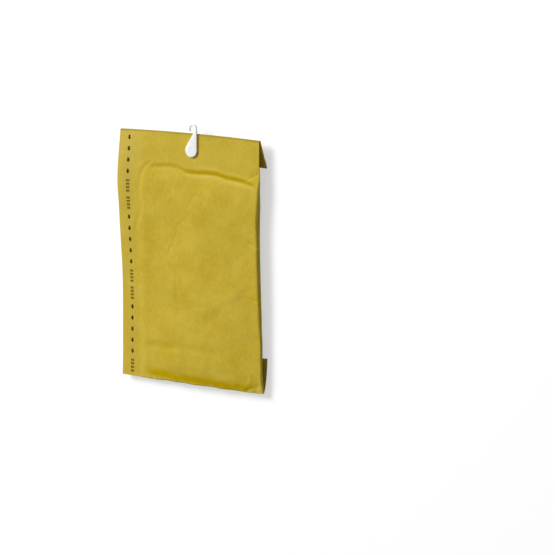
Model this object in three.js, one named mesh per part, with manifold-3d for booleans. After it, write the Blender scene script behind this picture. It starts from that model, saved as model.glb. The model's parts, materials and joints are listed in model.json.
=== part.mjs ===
// A padded paper mailing bag lying on its back, with a plastic hang hook through its folded top end.
// Millimetres. X runs across the bag, Y from the bottom fold to the top fold, Z up out of the front face.
// The origin is the middle of the flat patch on the back that the bag rests on.
import * as THREE from "three";
import { mergeVertices } from "three/addons/utils/BufferGeometryUtils.js";
import Module from "manifold-3d";

const wasm = await Module();
wasm.setup();

// Bag: overall sizes
const BAG_WIDTH = 140;
const FRONT_LENGTH = 205; // bottom fold to top fold, along the sides
const END_BOW = 1.6; // how much further out both folds lie at mid width
const PAD_DEPTH = 12.8; // rest plane to the crown of the front

// Bag: walls
const WALL_PAIR = 1.2; // both crushed walls where the bag lies flat: top band, side seam, folded-back end
const FLAP_PLY = 0.5; // the single paper ply of the closure flap

// Bag: padded pocket
const SIDE_SEAM = 15; // flat strip along the left side, with the tear strip in it
const LEFT_RISE = 18; // distance over which the front swells beside that strip
const LEFT_RISE_BACK = 26; // the same on the back
const SIDE_RADIUS = 5.5; // the folded right side, round where the pad fills it
const SIDE_PULL_IN = 2.6; // how far the swelling pulls the right side in
const TOP_BAND = 28; // flat band below the top fold
const TOP_RISE = 12; // distance over which the front swells below the band
const TOP_RISE_BACK = 30; // the same on the back
const BOTTOM_ROLL = 12; // distance over which the front rolls down to the bottom fold
const BOTTOM_RISE_BACK = 46; // distance over which the back comes down to the rest plane
const SEAM_LIFT = 2.5; // how far the side seam curls forward below the top band
const SEAM_LIFT_LENGTH = 28;

// Bag: heights of the folds over the rest plane
const BAND_SET_BACK = 1.8; // front of the top band below the crown
const BOTTOM_FOLD_HEIGHT = 6.2;

// Bag: folded-back top end and closure flap
const FOLD_BACK_LENGTH = 26;
const FOLD_BACK_END_HEIGHT = 1.5; // free end over the rest plane
const FOLD_INSIDE_RADIUS = 0.15;
const FLAP_LENGTH = 29;
const FLAP_END_HEIGHT = 0.75;
const FLAP_ROOT_DROP = 3.2; // the flap drops this far in its first quarter
const FLAP_ROOT_SHARE = 0.25;

// Punched holes, which lie over each other once the top end is folded back
const HOLE_DIAMETER = 4.5;
const HOLE_FROM_FOLD = 13.5;
const HOLE_X = 3.2;

// Hang hook, seen from the front with its crook up and its stud at the origin
const HOOK_THICKNESS = 1.6;
const HOOK_CHAMFER = 0.4;
const BULB_RADIUS = 5.65;
const NECK_HEIGHT = 13.3;
const NECK_LEFT = 2.1;
const NECK_RIGHT = 5.5;
const CROOK_X = 2.6;
const CROOK_Y = 17.45;
const CROOK_RADIUS = 3.9;
const CROOK_BAND = 1.7;
const CROOK_SWEEP = THREE.MathUtils.degToRad(205);
const HEAD_DIAMETER = 6;
const HEAD_TIP_DIAMETER = 3;
const HEAD_HEIGHT = 2;

// Clearances
const HOOK_GAP = 0.3; // hook plate over the paper, and stud head below it
const STUD_CLEARANCE = 0.45; // stud in its holes, all round

// Grid of the pocket and steps of the curves
const COLUMNS = 25;
const ROUND_COLUMNS = 5;
const ROWS = 33;
const ROLL_ROWS = 5;
const FOLD_STEPS = 8;
const EXTRUDE_STEPS = 12;
const LATHE_STEPS = 28;
const CURVE_STEPS = 7;

// Worked out from the sizes above
const HALF_WIDTH = BAG_WIDTH / 2;
const HALF_LENGTH = FRONT_LENGTH / 2;
const BAND_TOP = PAD_DEPTH - BAND_SET_BACK;
const BAND_MIDDLE = BAND_TOP - WALL_PAIR / 2;
const BAND_START = HALF_LENGTH - TOP_BAND;
const SEAM_END = -HALF_WIDTH + SIDE_SEAM;
const FOLD_RADIUS = WALL_PAIR + FOLD_INSIDE_RADIUS;
const FOLD_Y = HALF_LENGTH - FOLD_RADIUS;
const FOLD_Z = BAND_TOP - FOLD_RADIUS;
const FOLD_BACK_LEG = FOLD_BACK_LENGTH - FOLD_RADIUS;
const SPLAY = Math.asin((FOLD_Z - FOLD_RADIUS - FOLD_BACK_END_HEIGHT) / FOLD_BACK_LEG);
const STUD_RADIUS = HOLE_DIAMETER / 2 - STUD_CLEARANCE;

const paper = new THREE.MeshStandardMaterial({ color: 0xc3aa3e, roughness: 0.85, metalness: 0 });
const plastic = new THREE.MeshStandardMaterial({ color: 0xf0f2f0, roughness: 0.35, metalness: 0 });

// Smooth rise from 0 at a to 1 at b
function rise(value, a, b) {
  return THREE.MathUtils.smoothstep(value, a, b);
}

// Quarter round: 1 until the round starts, then down to 0 at its end
function quarterRound(past, radius) {
  const share = THREE.MathUtils.clamp(past / radius, 0, 1);
  return Math.sqrt(1 - share * share);
}

function bow(x) {
  const share = x / HALF_WIDTH;
  return END_BOW * (1 - share * share);
}

// Middle of the crushed walls: low at the bottom fold, level along the top band, curled up along the seam
function middleHeight(x, y) {
  const along = rise(y, -HALF_LENGTH, BAND_START - TOP_RISE);
  const level = THREE.MathUtils.lerp(BOTTOM_FOLD_HEIGHT, BAND_MIDDLE, along);
  const curl = Math.exp(-(((y - BAND_START + TOP_RISE) / SEAM_LIFT_LENGTH) ** 2));
  return level + SEAM_LIFT * curl * (1 - rise(x, -HALF_WIDTH, SEAM_END + LEFT_RISE / 2));
}

// Right edge of the bag: pulled in beside the pad, at full width at both folds
function rightEdge(y) {
  const pad = rise(y, -HALF_LENGTH, -HALF_LENGTH + BOTTOM_ROLL) * (1 - rise(y, BAND_START - TOP_RISE, BAND_START));
  return HALF_WIDTH - SIDE_PULL_IN * pad;
}

function frontHeight(x, y) {
  const left = rise(x, SEAM_END, SEAM_END + LEFT_RISE);
  const right = quarterRound(x - (rightEdge(y) - SIDE_RADIUS), SIDE_RADIUS);
  const top = 1 - rise(y, BAND_START - TOP_RISE, BAND_START);
  const bottom = quarterRound(-HALF_LENGTH + BOTTOM_ROLL - y, BOTTOM_ROLL);
  const flat = middleHeight(x, y) + WALL_PAIR / 2;
  return flat + (PAD_DEPTH - flat) * left * right * top * bottom;
}

function backHeight(x, y) {
  const left = rise(x, SEAM_END, SEAM_END + LEFT_RISE_BACK);
  const right = quarterRound(x - (rightEdge(y) - SIDE_RADIUS), SIDE_RADIUS);
  const top = 1 - rise(y, BAND_START - TOP_RISE_BACK, BAND_START);
  const bottom = rise(y, -HALF_LENGTH - WALL_PAIR, -HALF_LENGTH + BOTTOM_RISE_BACK);
  const flat = middleHeight(x, y) - WALL_PAIR / 2;
  return flat * (1 - left * right * top * bottom);
}

function solidOf(geometry) {
  geometry.deleteAttribute("normal");
  geometry.deleteAttribute("uv");
  const merged = mergeVertices(geometry, 1e-4);
  return new wasm.Manifold(
    new wasm.Mesh({
      numProp: 3,
      vertProperties: merged.attributes.position.array,
      triVerts: new Uint32Array(merged.index.array),
    }),
  );
}

function geometryOf(solid) {
  const mesh = solid.getMesh();
  const geometry = new THREE.BufferGeometry();
  geometry.setAttribute("position", new THREE.BufferAttribute(mesh.vertProperties, 3));
  geometry.setIndex(new THREE.BufferAttribute(mesh.triVerts, 1));
  geometry.computeVertexNormals();
  return geometry;
}

// Grid positions: even across the pad, then by equal angles round the right side and the bottom roll
function columnX(share, y) {
  const roundShare = ROUND_COLUMNS / COLUMNS;
  const roundStart = rightEdge(y) - SIDE_RADIUS;
  if (share <= 1 - roundShare) {
    return THREE.MathUtils.lerp(-HALF_WIDTH, roundStart, share / (1 - roundShare));
  }
  const angle = ((share - 1 + roundShare) / roundShare) * (Math.PI / 2);
  return roundStart + SIDE_RADIUS * Math.sin(angle);
}

function rowY(share) {
  const rollShare = ROLL_ROWS / ROWS;
  const rollEnd = -HALF_LENGTH + BOTTOM_ROLL;
  if (share >= rollShare) {
    return THREE.MathUtils.lerp(rollEnd, FOLD_Y, (share - rollShare) / (1 - rollShare));
  }
  const angle = (1 - share / rollShare) * (Math.PI / 2);
  return rollEnd - BOTTOM_ROLL * Math.sin(angle);
}

// Padded pocket with the side seam and the top band: a box grid moved onto the front and back heights
function pocket() {
  const geometry = new THREE.BoxGeometry(1, 1, 1, COLUMNS, ROWS, 1);
  const points = geometry.getAttribute("position");
  for (let i = 0; i < points.count; i++) {
    const y = rowY(points.getY(i) + 0.5);
    const x = columnX(points.getX(i) + 0.5, y);
    const z = points.getZ(i) > 0 ? frontHeight(x, y) : backHeight(x, y);
    points.setXYZ(i, x, y + (bow(x) * y) / HALF_LENGTH, z);
  }
  return solidOf(geometry);
}

// A section in Y and Z, drawn as a shape, run across the whole width of the bag
function acrossBag(shape, outward) {
  const geometry = new THREE.ExtrudeGeometry(shape, {
    depth: BAG_WIDTH,
    steps: EXTRUDE_STEPS,
    bevelEnabled: false,
  });
  const points = geometry.getAttribute("position");
  for (let i = 0; i < points.count; i++) {
    const x = points.getZ(i) - HALF_WIDTH;
    points.setXYZ(i, x, points.getX(i) + outward * bow(x), points.getY(i));
  }
  return solidOf(geometry);
}

// Points round a bend, turning from the angle of its first point to that of its last, measured from +Z to +Y
function bend(y, z, radius, from, to) {
  const points = [];
  for (let i = 0; i <= FOLD_STEPS; i++) {
    const angle = THREE.MathUtils.lerp(from, to, i / FOLD_STEPS);
    points.push(new THREE.Vector2(y + radius * Math.sin(angle), z + radius * Math.cos(angle)));
  }
  return points;
}

// Top end of the bag, folded back behind the top band and standing off it by the splay angle
function foldBack() {
  const turn = Math.PI - SPLAY;
  const outside = bend(FOLD_Y, FOLD_Z, FOLD_RADIUS, 0, turn);
  const inside = bend(FOLD_Y, FOLD_Z, FOLD_INSIDE_RADIUS, turn, 0);
  const leg = new THREE.Vector2(-Math.cos(SPLAY), -Math.sin(SPLAY)).multiplyScalar(FOLD_BACK_LEG);
  const root = FOLD_Y - 2 * FOLD_RADIUS;
  const shape = new THREE.Shape([
    new THREE.Vector2(root, FOLD_Z + FOLD_INSIDE_RADIUS),
    new THREE.Vector2(root, BAND_TOP),
    ...outside,
    outside.at(-1).clone().add(leg),
    inside[0].clone().add(leg),
    ...inside,
  ]);
  return acrossBag(shape, 1);
}

// Closure flap: the front ply goes round the bottom fold and back under the pad, to a free edge near the rest plane
function closureFlap() {
  const start = new THREE.Vector2(-HALF_LENGTH, BOTTOM_FOLD_HEIGHT - FLAP_PLY / 2);
  const drop = start.y - FLAP_END_HEIGHT;
  const run = Math.sqrt(FLAP_LENGTH ** 2 - drop ** 2);
  const middleLine = new THREE.SplineCurve([
    start,
    new THREE.Vector2(start.x + run * FLAP_ROOT_SHARE, start.y - FLAP_ROOT_DROP),
    new THREE.Vector2(start.x + run, FLAP_END_HEIGHT),
  ]);
  const upper = [];
  const lower = [];
  for (let i = 0; i <= FOLD_STEPS; i++) {
    const point = middleLine.getPoint(i / FOLD_STEPS);
    const across = middleLine.getTangent(i / FOLD_STEPS).rotateAround(new THREE.Vector2(), Math.PI / 2);
    upper.push(point.clone().addScaledVector(across, FLAP_PLY / 2));
    lower.push(point.clone().addScaledVector(across, -FLAP_PLY / 2));
  }
  return acrossBag(new THREE.Shape([...lower, ...upper.reverse()]), -1);
}

function punchedHole() {
  const geometry = new THREE.CylinderGeometry(HOLE_DIAMETER / 2, HOLE_DIAMETER / 2, 2 * PAD_DEPTH, LATHE_STEPS);
  geometry.rotateX(Math.PI / 2);
  geometry.translate(HOLE_X, hookY(), PAD_DEPTH / 2);
  return solidOf(geometry);
}

function hookY() {
  return HALF_LENGTH + bow(HOLE_X) - HOLE_FROM_FOLD;
}

function bag() {
  const solid = pocket().add(foldBack()).add(closureFlap()).subtract(punchedHole());
  const mesh = new THREE.Mesh(geometryOf(solid), paper);
  mesh.name = "padded_bag";
  return mesh;
}

// Outline of the hook: drop-shaped plate, straight on its right, drawn out into a small crook open to the left
function hookOutline() {
  const inner = CROOK_RADIUS - CROOK_BAND;
  const middle = CROOK_RADIUS - CROOK_BAND / 2;
  const tip = new THREE.Vector2(CROOK_X + middle * Math.cos(CROOK_SWEEP), CROOK_Y + middle * Math.sin(CROOK_SWEEP));
  const neckReach = Math.hypot(NECK_LEFT, NECK_HEIGHT);
  const tangent = Math.atan2(NECK_HEIGHT, NECK_LEFT) + Math.acos(BULB_RADIUS / neckReach);
  const easeY = (NECK_HEIGHT + CROOK_Y) / 2;
  const shape = new THREE.Shape();
  shape.absarc(0, 0, BULB_RADIUS, tangent, 2 * Math.PI, false);
  shape.lineTo(NECK_RIGHT, NECK_HEIGHT);
  shape.bezierCurveTo(NECK_RIGHT, easeY, CROOK_X + CROOK_RADIUS, easeY, CROOK_X + CROOK_RADIUS, CROOK_Y);
  shape.absarc(CROOK_X, CROOK_Y, CROOK_RADIUS, 0, CROOK_SWEEP, false);
  shape.absarc(tip.x, tip.y, CROOK_BAND / 2, CROOK_SWEEP, CROOK_SWEEP + Math.PI, false);
  shape.absarc(CROOK_X, CROOK_Y, inner, CROOK_SWEEP, 0, true);
  shape.quadraticCurveTo(CROOK_X + inner, easeY, NECK_LEFT, NECK_HEIGHT);
  return shape;
}

function hookPlate() {
  const geometry = new THREE.ExtrudeGeometry(hookOutline(), {
    depth: HOOK_THICKNESS - 2 * HOOK_CHAMFER,
    steps: 1,
    curveSegments: CURVE_STEPS,
    bevelEnabled: true,
    bevelThickness: HOOK_CHAMFER,
    bevelSize: HOOK_CHAMFER,
    bevelOffset: -HOOK_CHAMFER,
    bevelSegments: 1,
  });
  geometry.translate(0, 0, BAND_TOP + HOOK_GAP + HOOK_CHAMFER);
  return solidOf(geometry);
}

// Rear face of the folded-back end under the hook, at its lowest point over the stud head
function foldBackOverHead() {
  const outsideY = FOLD_Y + FOLD_RADIUS * Math.sin(Math.PI - SPLAY);
  const outsideZ = FOLD_Z + FOLD_RADIUS * Math.cos(Math.PI - SPLAY);
  const away = outsideY + bow(HOLE_X) - hookY() + HEAD_DIAMETER / 2;
  return outsideZ - away * Math.tan(SPLAY);
}

// Stud through both punched holes, with a conical head behind the folded-back end
function hookStud() {
  const headTop = foldBackOverHead() - HOOK_GAP;
  const top = BAND_TOP + HOOK_GAP + HOOK_THICKNESS / 2;
  const profile = [
    new THREE.Vector2(0, headTop - HEAD_HEIGHT),
    new THREE.Vector2(HEAD_TIP_DIAMETER / 2, headTop - HEAD_HEIGHT),
    new THREE.Vector2(HEAD_DIAMETER / 2, headTop),
    new THREE.Vector2(STUD_RADIUS, headTop),
    new THREE.Vector2(STUD_RADIUS, top),
    new THREE.Vector2(0, top),
  ];
  const geometry = new THREE.LatheGeometry(profile, LATHE_STEPS);
  geometry.rotateX(Math.PI / 2);
  return solidOf(geometry);
}

function hook() {
  const mesh = new THREE.Mesh(geometryOf(hookPlate().add(hookStud())), plastic);
  mesh.name = "hang_hook";
  mesh.position.set(HOLE_X, hookY(), 0);
  return mesh;
}

const group = new THREE.Group();
group.add(bag(), hook());

export default group;
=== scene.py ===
# %% [markdown]
# # A padded mailing bag with a hang hook
# The real object is a small brown paper bag with a soft filling, folded over at its top end and
# hung on a white plastic hook. It lies on its back here, because it can't stand on its thin
# bottom fold. It could be built face by face, but its folds would be hard to keep true. Instead
# it is made as on the maker's bench: flat, cut and punched, and then folded. Lengths are written
# in millimetres and turned into metres when a mesh is made. X runs across the bag, Y from the
# bottom fold to the top fold, and Z up out of the front face.

import json
import math

import bmesh
import bpy
import numpy as np
from mathutils import Matrix, Vector, noise


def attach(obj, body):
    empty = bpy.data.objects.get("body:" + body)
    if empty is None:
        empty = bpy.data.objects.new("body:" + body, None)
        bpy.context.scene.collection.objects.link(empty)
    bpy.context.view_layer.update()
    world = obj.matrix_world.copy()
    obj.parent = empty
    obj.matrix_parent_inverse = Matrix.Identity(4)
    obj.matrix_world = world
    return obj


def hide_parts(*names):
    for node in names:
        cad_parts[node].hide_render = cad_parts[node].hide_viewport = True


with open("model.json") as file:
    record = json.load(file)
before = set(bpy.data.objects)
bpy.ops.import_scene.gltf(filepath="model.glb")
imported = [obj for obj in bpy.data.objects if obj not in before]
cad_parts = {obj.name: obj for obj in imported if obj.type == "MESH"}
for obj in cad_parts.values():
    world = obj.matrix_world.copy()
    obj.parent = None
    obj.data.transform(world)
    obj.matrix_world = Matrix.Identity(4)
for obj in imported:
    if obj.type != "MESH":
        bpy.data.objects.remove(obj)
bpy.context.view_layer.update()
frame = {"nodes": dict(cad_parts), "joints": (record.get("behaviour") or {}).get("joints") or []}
print("nodes of the packed part:", sorted(frame["nodes"]))

# %% [markdown]
# ## Sizes
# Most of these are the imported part's own sizes, so that the visible bag lies where the part lies.
# The filled pocket is 12.8 mm deep. Where the two walls are crushed flat on each other, as along
# the side seam, the top band and the folded-back end, they are 1.2 mm together. The flap is one
# thin ply. The holes' place could be written again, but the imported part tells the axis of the
# hook's hinge, so it is read there.

# %% Sizes of the bag
MM = 0.001
HALF_WIDTH = 70.0
HALF_LENGTH = 102.5
END_BOW = 1.1
PAD_DEPTH = 12.8
WALL_PAIR = 1.2
SEAM_END = -55.0
LEFT_RISE = 75.0
LEFT_RISE_BACK = 26.0
SIDE_RADIUS = 5.5
FRONT_ROUND = 1.9
FRONT_ROUND_LOST = 0.9
EDGE_ROUND = 1.2
BACK_ROUND = 12.0
BAND_START = 74.5
TOP_RISE = 12.0
TOP_RISE_BACK = 30.0
BOTTOM_ROLL = 12.0
BOTTOM_RISE_BACK = 46.0
BAND_MIDDLE = 10.4
BOTTOM_FOLD_HEIGHT = 6.2
FOLD_Y = 101.45
FOLD_RADIUS = 0.75
FOLD_BACK_LEG = 22.8
FOLD_BACK_DROP = 6.9
SPLAY = math.asin(FOLD_BACK_DROP / FOLD_BACK_LEG)
FLAP_PLY = 0.4
HOLE_X, HOOK_Y = (round(place / MM, 4) for place in frame["joints"][0]["pos_m"][:2])
print("splay of the folded-back end: %.1f degrees" % math.degrees(SPLAY))

# %% [markdown]
# ## Out of bmesh and into the scene
# Each piece leaves bmesh as a mesh and joins the scene as an object. The object stays at the
# origin, because its place is put in the mesh, so both steps are always the same.


# %% Helpers for meshes and objects
def meshed(name, bm):
    mesh = bpy.data.meshes.new(name)
    bm.to_mesh(mesh)
    bm.free()
    return mesh


def put_out(name, data):
    thing = bpy.data.objects.new(name, data)
    bpy.context.scene.collection.objects.link(thing)
    return thing


# %% [markdown]
# ## Soft curves
# Paper over a filling has no sharp steps. Its heights could be drawn one by one, but a few soft
# curves are easier to change: a smooth rise, a quarter round for a rolled edge, and a smooth line
# through chosen points. Numpy works them out for all points at once.


# %% Soft curves
def rise(value, a, b):
    """From 0 at a to 1 at b, level at both ends."""
    share = np.clip((value - a) / (b - a), 0, 1)
    return share * share * (3 - 2 * share)


def quarter_round(past, radius):
    """From 1 at the start of a rolled edge to 0 at its outside."""
    share = np.clip(past / radius, 0, 1)
    return np.sqrt(1 - share * share)


def through(points, value):
    """The smooth line through some (place, height) points."""
    places, heights = np.array(points, float).T
    slopes = np.gradient(heights, places)
    value = np.clip(value, places[0], places[-1])
    k = np.clip(np.searchsorted(places, value) - 1, 0, len(places) - 2)
    span = places[k + 1] - places[k]
    t = (value - places[k]) / span
    start = heights[k] * (1 + 2 * t) * (1 - t) ** 2 + slopes[k] * span * t * (1 - t) ** 2
    end = heights[k + 1] * t * t * (3 - 2 * t) + slopes[k + 1] * span * t * t * (t - 1)
    return start + end


print("a quarter of the way up a rise: %.3f" % rise(0.25, 0, 1))

# %% [markdown]
# ## Edges that wander
# No edge of a filled bag is straight. The flat seam at the left bulges where the filling pushes
# on it, the right side is pulled in where the pocket is full, the bottom fold is dented, and the
# front sinks towards it. Each could be a drawn curve, but a short table of (place along it, where
# it lies or how far it is off) is easier to set beside the real thing.

# %% Tables of the edges
SEAM_CURL = [
    (-103, 0.2), (-60, 0.0), (-27, -0.3), (-14, -0.2), (5, 0.4),
    (40, 1.2), (54, 1.9), (68, 2.0), (83, 1.4), (102, 0.2),
]
BOTTOM_WANDER = [
    (-70, 0.1), (-57, 0.2), (-45, 0.1), (-32, 0.2), (-26, 0.7), (-16, 0.4),
    (-8, 0.8), (-2, 0.5), (13, 0.6), (20, 0.8), (28, 0.2),
    (43, 0.3), (54, -0.2), (60, -0.1), (64, -0.3), (70, -0.1),
]
PAD_TOP = [
    (-102.5, 8.8), (-100.8, 8.95), (-98, 9.6), (-94, 10.3), (-88, 10.9),
    (-75, 11.4), (-40, 12.2), (20, PAD_DEPTH), (104, PAD_DEPTH),
]
RIGHT_SIDE = [
    (-104, 70.6), (-85, 70.3), (-72, 70.0), (-31, 68.9), (10, 67.8),
    (45, 67.9), (59, 69.0), (68, 69.6), (80, 69.1), (102, 68.9),
]
LEFT_SIDE = [
    (-104, -71.4), (-70, -70.7), (-30, -70.0), (5, -70.0), (40, -70.8),
    (54, -71.2), (68, -71.1), (83, -70.5), (102, -69.5),
]
print("width half way up: %.1f mm" % (through(RIGHT_SIDE, 0.0) - through(LEFT_SIDE, 0.0)))

# %% [markdown]
# ## The shape of the filled pocket
# The pocket is a cushion with a flat rim at its left and top, and a rolled edge at its right and
# bottom. A cloth simulation could blow it up, but stiff glued paper keeps the form of its folds,
# so the front and the back are height maps. Both swell from the middle height between the two
# walls by the share of filling under each point.


# %% Heights of the front and the back
CORNER_LIFT = 1.8
RIGHT_SINK, RIGHT_SINK_LOW = 0.8, 0.9


def bow(x):
    """How far the two end folds curve outwards."""
    return END_BOW * (1 - (x / HALF_WIDTH) ** 2)


def middle_height(x, y):
    """Height of the middle between the two walls, where they lie flat on each other."""
    along = rise(y, -HALF_LENGTH, BAND_START - TOP_RISE)
    level = BOTTOM_FOLD_HEIGHT + (BAND_MIDDLE - BOTTOM_FOLD_HEIGHT) * along
    away = 1 - rise(x, -HALF_WIDTH, SEAM_END + 12)
    crushed = CORNER_LIFT * rise(x, 48, 68) * rise(y, -101, -80) * (1 - rise(y, -20, 40))
    return level + crushed + through(SEAM_CURL, y) * away**2


def right_edge(y):
    return through(RIGHT_SIDE, y)


def front_round(y):
    """Radius of the front's edge at the right, sharper towards the bottom fold."""
    return FRONT_ROUND - FRONT_ROUND_LOST * (1 - rise(y, -99, -60))


def pad_share(x, y, left_rise, top_rise, side_round):
    """Share of the full swelling, from 0 at the flat rims to 1."""
    left = 0.3 * rise(x, SEAM_END, SEAM_END + 10) + 0.7 * rise(x, SEAM_END, SEAM_END + left_rise)
    right = quarter_round(x - (right_edge(y) - side_round), side_round)
    return left * right * (1 - rise(y, BAND_START - top_rise, BAND_START))


def front_height(x, y):
    flat = middle_height(x, y) + WALL_PAIR / 2
    share = pad_share(x, y, LEFT_RISE, TOP_RISE, front_round(y))
    share = share * quarter_round(-HALF_LENGTH + EDGE_ROUND - y, EDGE_ROUND)
    low = (RIGHT_SINK + RIGHT_SINK_LOW * (1 - rise(y, -60, 10))) * rise(x, 30, 69)
    return flat + (through(PAD_TOP, y) - low - flat) * share


def back_height(x, y):
    flat = middle_height(x, y) - WALL_PAIR / 2
    down = rise(y, -HALF_LENGTH - WALL_PAIR, -HALF_LENGTH + BOTTOM_RISE_BACK)
    return flat * (1 - pad_share(x, y, LEFT_RISE_BACK, TOP_RISE_BACK, BACK_ROUND) * down)


print("depth in the middle: %.1f mm" % (front_height(20.0, 0.0) - back_height(20.0, 0.0)))

# %% [markdown]
# ## Lines of the creases
# The front shows one deep crease under the top band and a soft groove down the left side of the
# filling. A line along the bottom fold also gives a band of painted shade. They could be pushed in
# with a brush, but as lines of (place along, place across, depth) they can be measured and moved.

# %% Lines of the larger creases
MAIN_CREASE = [
    (-41, 72.6, 0.0), (-36, 73.6, 0.35), (-28, 74.4, 0.5), (-15, 74.8, 0.5), (-9, 73.4, 0.4),
    (-3.5, 71.4, 0.85), (4, 70.8, 1.0), (17, 71.3, 1.1), (29, 71.0, 1.15), (37, 69.4, 1.2),
    (48, 68.6, 1.2), (57, 67.4, 1.05), (62, 66.4, 0.9), (65, 65.6, 0.4), (68, 64.8, 0.0),
]
CORNER_FORK = [(52, 68.5, 0.0), (56, 69.2, 0.2), (61, 71.5, 0.4), (67, 74.6, 0.4), (70, 76, 0.3)]
LEFT_GROOVE = [
    (18, -54.5, 0.0), (26, -53, 0.25), (38, -48.5, 0.25), (58, -50, 0.3),
    (68, -47.5, 0.35), (75, -43, 0.3), (79, -38, 0.0),
]
LONG_CREASE = [
    (0, -23, 0.0), (5.4, -20, 0.13), (20, -12.5, 0.14), (28.7, -10, 0.17), (34, -3, 0.14),
    (38, 2.6, 0.15), (43.7, 0.1, 0.15), (56, 9.7, 0.1), (62, 12, 0.0),
]
LOW_VALLEY = [
    (-50, -76, 0.0), (-44, -75, 0.45), (-25, -74, 0.5), (0, -73, 0.4), (25, -73.5, 0.25),
    (46, -73, 0.0),
]
FALLING_RIDGE = [(-46, -36, 0.0), (-39, -39, 0.3), (-25, -51, 0.5), (-10, -62, 0.4), (-3, -66, 0.0)]
RISING_RIDGE = [(0, -46, 0.0), (10, -43, 0.25), (28, -35, 0.35), (53, -20, 0.35), (62, -16, 0.0)]
# The bottom band is no crease in the mesh: it places painted shade along the bottom roll, and its
# third column is the strength of that shade.
BOTTOM_BAND = [
    (-52, -94.0, 0.0), (-45, -95.4, 0.4), (-37, -96.1, 0.95), (-30, -96.3, 1.0), (-22, -96.7, 1.0),
    (-14, -97.8, 0.95), (-6, -97.1, 1.0), (2, -97.3, 1.0), (10, -97.9, 1.0), (26, -97.9, 1.0),
    (34, -98.7, 1.0), (46, -98.9, 0.95), (54, -98.0, 0.9), (60, -96.6, 0.7), (67, -95.0, 0.0),
]
print("the main crease is %.0f mm long" % (MAIN_CREASE[-1][0] - MAIN_CREASE[0][0]))

# %% [markdown]
# ## Forms of the creases
# Seen from its end, a crease is a small valley with banks. A bell curve would do for a dent, but
# paper buckles sharply on one side and eases out on the other, so each form is a table of
# (distance off the line, share of the depth). The two shade tables give painted shade above 0 and
# painted highlight below 0 instead.

# %% Forms across the creases
MAIN_FORM = [
    (-16, 0), (-9, -0.22), (-3.2, -0.45), (-2.2, -0.5), (-0.7, -0.74), (0.5, -0.42),
    (1.7, -0.03), (2.8, 0.3), (3.5, 0.33), (5.5, 0.12), (8, 0),
]
# Painted shade on the upper wall of the main crease, and painted highlight on the bank below it.
MAIN_SHADE = [
    (-5, 0), (-3.3, -0.2), (-1.9, -0.4), (-1, -0.2), (-0.3, 0.5),
    (1.1, 0.9), (2.4, 0.5), (3.4, 0), (5, -0.1), (7, 0),
]
# Painted shade across the bottom band, with a painted highlight on the lip below it.
BAND_SHADE = [(-4.4, -0.1), (-2.7, 0.15), (-1.9, 0.9), (0, 1), (1.8, 0.9), (3.2, 0.4), (5.5, 0)]
SOFT_RIDGE = [(-9, 0), (-5, 0.35), (0, 1), (5, 0.35), (9, 0)]
VALLEY = [(-7, 0), (-3.2, -0.1), (-0.8, -0.85), (0.8, -0.8), (5, 0.2), (8, 0.25), (14, 0)]
NICK = [
    (-5, 0), (-3, 0.25), (-1.9, 0.45), (-0.8, -0.5), (0, -1), (0.8, -0.5), (1.8, 0.15), (3.5, 0),
]
CORNER_NICK = [
    (-5, 0), (-3, 0.25), (-1.9, 0.45), (-0.8, -0.5), (0, -1), (0.8, -0.7),
    (7, 0.35), (10, 0.2), (13, 0),
]


def crease(across, along, points, form, width=1.0):
    """What a crease adds, from its points (along, across, depth) and its form."""
    line = through([(a, b) for a, b, _ in points], along)
    depth = through([(a, d) for a, _, d in points], along)
    inside = rise(along, points[0][0] - 3, points[0][0])
    inside = inside * (1 - rise(along, points[-1][0], points[-1][0] + 3))
    return inside * depth * through(form, (across - line) / width)


print("height beside the main crease: %.2f mm" % crease(73.8, 30.0, MAIN_CREASE, MAIN_FORM))

# %% [markdown]
# ## Creases of the front together
# Most creases run across the bag, and three run along it. One function adds them all up, and they
# fade at the bottom fold, where the paper is pulled tight.

# %% Creases of the front
ACROSS_THE_BAG = [
    (MAIN_CREASE, MAIN_FORM),
    (CORNER_FORK, CORNER_NICK, 0.9),
    ([(52, 22.5, 0.0), (60, 19.8, 0.35), (68, 15.4, 0.6)], NICK),
    ([(50, -25.2, 0.0), (60, -25.6, 0.4), (69, -26.8, 0.7)], NICK),
    (LOW_VALLEY, VALLEY),
    ([(-52, -79, 0.0), (-48, -83, 0.2), (-41, -92, 0.2), (-38, -95, 0.0)], NICK, 1.5),
    (FALLING_RIDGE, SOFT_RIDGE),
    (RISING_RIDGE, SOFT_RIDGE),
    ([(-42, 18, 0.0), (-34, 12, 0.3), (-26, 8, 0.3), (-18, 6, 0.0)], SOFT_RIDGE, 0.5),
    ([(50, -102, 0.0), (55, -101, 0.7), (62, -98, 0.9), (68, -96.5, 0.3)], NICK),
]
ALONG_THE_BAG = [
    (LEFT_GROOVE, NICK, 1.8),
    (LONG_CREASE, NICK, 1.5),
    ([(-46, -11, 0.0), (-38, -11.5, 0.1), (-10, -13.5, 0.1), (-2, -14, 0.0)], NICK, 1.4),
]


def creased(x, y):
    """Height that all the creases of the front add."""
    added = sum(crease(y, x, *mark) for mark in ACROSS_THE_BAG)
    added = added + sum(crease(x, y, *mark) for mark in ALONG_THE_BAG)
    return added * (0.4 + 0.6 * rise(y, -100, -92))


def lumps(x, y, size, seed):
    """Smooth uneven height, from -1 to 1, with lumps of that size in millimetres."""
    return np.array([noise.noise(Vector((a / size, b / size, seed))) for a, b in zip(x, y)])


print("creases:", len(ACROSS_THE_BAG) + len(ALONG_THE_BAG))

# %% [markdown]
# ## From flat paper to folded bag
# The whole bag is one long strip: the closure flap, the pocket, and the top end that is folded
# back. It could be modelled folded, but then its print, grain and cut edges would need fitting at
# each fold. Instead one rule says where each point of the flat strip lies once it is folded. A
# point has its place across the sheet, its place s along it, and its height h in it, from -1 at
# the back to 1 at the front.

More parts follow.
